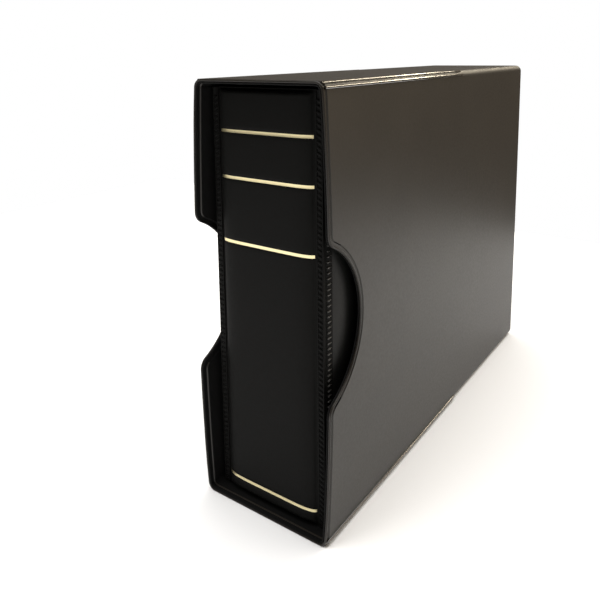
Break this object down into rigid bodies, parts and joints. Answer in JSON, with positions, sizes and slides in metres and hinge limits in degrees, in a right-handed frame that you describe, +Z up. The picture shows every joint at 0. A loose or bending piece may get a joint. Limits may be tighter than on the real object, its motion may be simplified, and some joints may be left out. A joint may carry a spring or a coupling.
{
  "type": "ring binder with slipcase",
  "caption": "Padded leatherette ring binder with gold-lined spine, in a stand-up slipcase open at the front with thumb notches; ring mechanism inside opens by end levers.",
  "frame": {"origin": "centre of the slipcase's footprint, on the surface that it stands on", "axes": "+Z up, -Y out of the open front where the spine shows, +X to the right as the spine is seen"},
  "size_m": [0.093, 0.318, 0.25],
  "materials": {
    "case_leatherette": "fine-grained satin leatherette over board",
    "binder_leatherette": "padded matt leatherette",
    "black_lining": "matt black lining",
    "greyboard": "raw greyboard",
    "gold_foil": "hot-stamped gold foil",
    "nickel_plated_steel": "bright nickel plate"
  },
  "bodies": {
    "slipcase": {"case_right_wall": "case_leatherette", "case_left_wall": "case_leatherette", "case_top_wall": "case_leatherette", "case_bottom_wall": "case_leatherette", "case_back_wall": "case_leatherette", "case_right_bead": "case_leatherette", "case_left_bead": "case_leatherette", "case_top_bead": "case_leatherette", "case_bottom_bead": "case_leatherette", "case_right_lining": "black_lining", "case_left_lining": "black_lining", "case_top_right_welt": "case_leatherette", "case_top_left_welt": "case_leatherette", "case_bottom_right_welt": "case_leatherette", "case_bottom_left_welt": "case_leatherette"},
    "binder_spine": {"spine_pad": "binder_leatherette", "spine_board": "greyboard", "spine_lining": "black_lining", "spine_front_stitch": "binder_leatherette", "spine_back_stitch": "binder_leatherette", "front_hinge_fold": "binder_leatherette", "back_hinge_fold": "binder_leatherette", "spine_gold_line_1": "gold_foil", "spine_gold_line_2": "gold_foil", "spine_gold_line_3": "gold_foil", "spine_gold_line_4": "gold_foil", "ring_channel": "nickel_plated_steel", "mechanism_rivets": "nickel_plated_steel", "lever_pins": "nickel_plated_steel"},
    "front_cover": {"front_cover_skin": "binder_leatherette", "front_cover_board": "greyboard", "front_cover_lining": "black_lining", "front_cover_stitch": "binder_leatherette"},
    "back_cover": {"back_cover_skin": "binder_leatherette", "back_cover_board": "greyboard", "back_cover_lining": "black_lining", "back_cover_stitch": "binder_leatherette"},
    "right_rings": {"right_blade": "nickel_plated_steel", "right_ring_halves": "nickel_plated_steel"},
    "left_rings": {"left_blade": "nickel_plated_steel", "left_ring_halves": "nickel_plated_steel"},
    "upper_lever": {"upper_lever": "nickel_plated_steel"},
    "lower_lever": {"lower_lever": "nickel_plated_steel"}
  },
  "joints": [
    {"name": "binder_slide", "type": "slide", "parent": "slipcase", "child": "binder_spine", "axis": [0, -1, 0], "range_m": [0, 0.315]},
    {"name": "front_cover_hinge", "type": "hinge", "parent": "binder_spine", "child": "front_cover", "pos_m": [0.03525, -0.1474, 0.12435], "axis": [0, 0, 1], "range_deg": [-0.4, 5]},
    {"name": "back_cover_hinge", "type": "hinge", "parent": "binder_spine", "child": "back_cover", "pos_m": [-0.03525, -0.1474, 0.12435], "axis": [0, 0, -1], "range_deg": [-0.4, 5]},
    {"name": "left_rings_open", "type": "hinge", "parent": "binder_spine", "child": "left_rings", "pos_m": [-0.0146, -0.1429, 0.12435], "axis": [0, 0, 1], "range_deg": [0, 16]},
    {"name": "right_rings_open", "type": "hinge", "parent": "binder_spine", "child": "right_rings", "pos_m": [0.0146, -0.1429, 0.12435], "axis": [0, 0, -1], "range_deg": [0, 16]},
    {"name": "upper_lever_press", "type": "hinge", "parent": "binder_spine", "child": "upper_lever", "pos_m": [0, -0.1421, 0.22235], "axis": [1, 0, 0], "range_deg": [0, 24]},
    {"name": "lower_lever_press", "type": "hinge", "parent": "binder_spine", "child": "lower_lever", "pos_m": [0, -0.1421, 0.02635], "axis": [-1, 0, 0], "range_deg": [0, 24]}
  ],
  "couplings": [
    {"joint": "right_rings_open", "follows": "left_rings_open", "ratio": 1},
    {"joint": "upper_lever_press", "follows": "left_rings_open", "ratio": 1.5},
    {"joint": "lower_lever_press", "follows": "left_rings_open", "ratio": 1.5}
  ]
}
